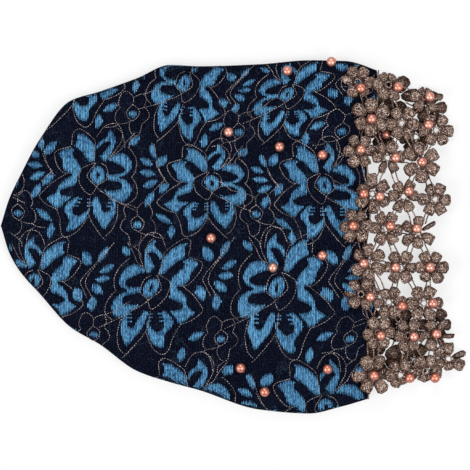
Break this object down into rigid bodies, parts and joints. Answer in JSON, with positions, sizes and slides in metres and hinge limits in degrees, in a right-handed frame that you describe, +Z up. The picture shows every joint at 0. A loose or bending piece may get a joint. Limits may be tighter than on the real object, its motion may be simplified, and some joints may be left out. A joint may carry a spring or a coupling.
{
  "type": "pull-on turban cap lying flat",
  "caption": "Pull-on turban cap of blue and black brocade, lying flat, with a wrapped guipure flower trim at the mouth and sewn pearls.",
  "frame": {"origin": "middle of the underside of the whole, on the surface that it lies on", "axes": "+X from the crown towards the mouth, +Y across the cap to its left fold, +Z up"},
  "size_m": [0.3508, 0.2674, 0.033],
  "materials": {
    "brocade": "dark navy stretch brocade with woven blue flowers and fine metallic outline thread",
    "lace": "taupe metallic embroidery thread",
    "pearl": "copper rose imitation pearl"
  },
  "bodies": {
    "root": {"cap_body": "brocade", "lace_trim": "lace", "pearl_cloth_01": "pearl", "pearl_cloth_02": "pearl", "pearl_cloth_03": "pearl", "pearl_cloth_04": "pearl", "pearl_cloth_05": "pearl", "pearl_cloth_06": "pearl", "pearl_cloth_07": "pearl", "pearl_cloth_08": "pearl", "pearl_cloth_09": "pearl", "pearl_cloth_10": "pearl", "pearl_cloth_11": "pearl", "pearl_trim_01": "pearl", "pearl_trim_02": "pearl", "pearl_trim_03": "pearl", "pearl_trim_04": "pearl", "pearl_trim_05": "pearl", "pearl_trim_06": "pearl", "pearl_trim_07": "pearl", "pearl_trim_08": "pearl", "pearl_trim_09": "pearl", "pearl_trim_10": "pearl", "pearl_trim_11": "pearl", "pearl_trim_12": "pearl", "pearl_trim_13": "pearl", "pearl_trim_14": "pearl", "pearl_trim_15": "pearl", "pearl_trim_16": "pearl", "pearl_trim_17": "pearl", "pearl_trim_18": "pearl", "pearl_trim_19": "pearl", "pearl_trim_20": "pearl", "pearl_trim_21": "pearl", "pearl_trim_22": "pearl", "pearl_trim_23": "pearl", "pearl_trim_24": "pearl", "pearl_trim_25": "pearl", "pearl_trim_26": "pearl", "pearl_trim_27": "pearl"}
  },
  "joints": []
}
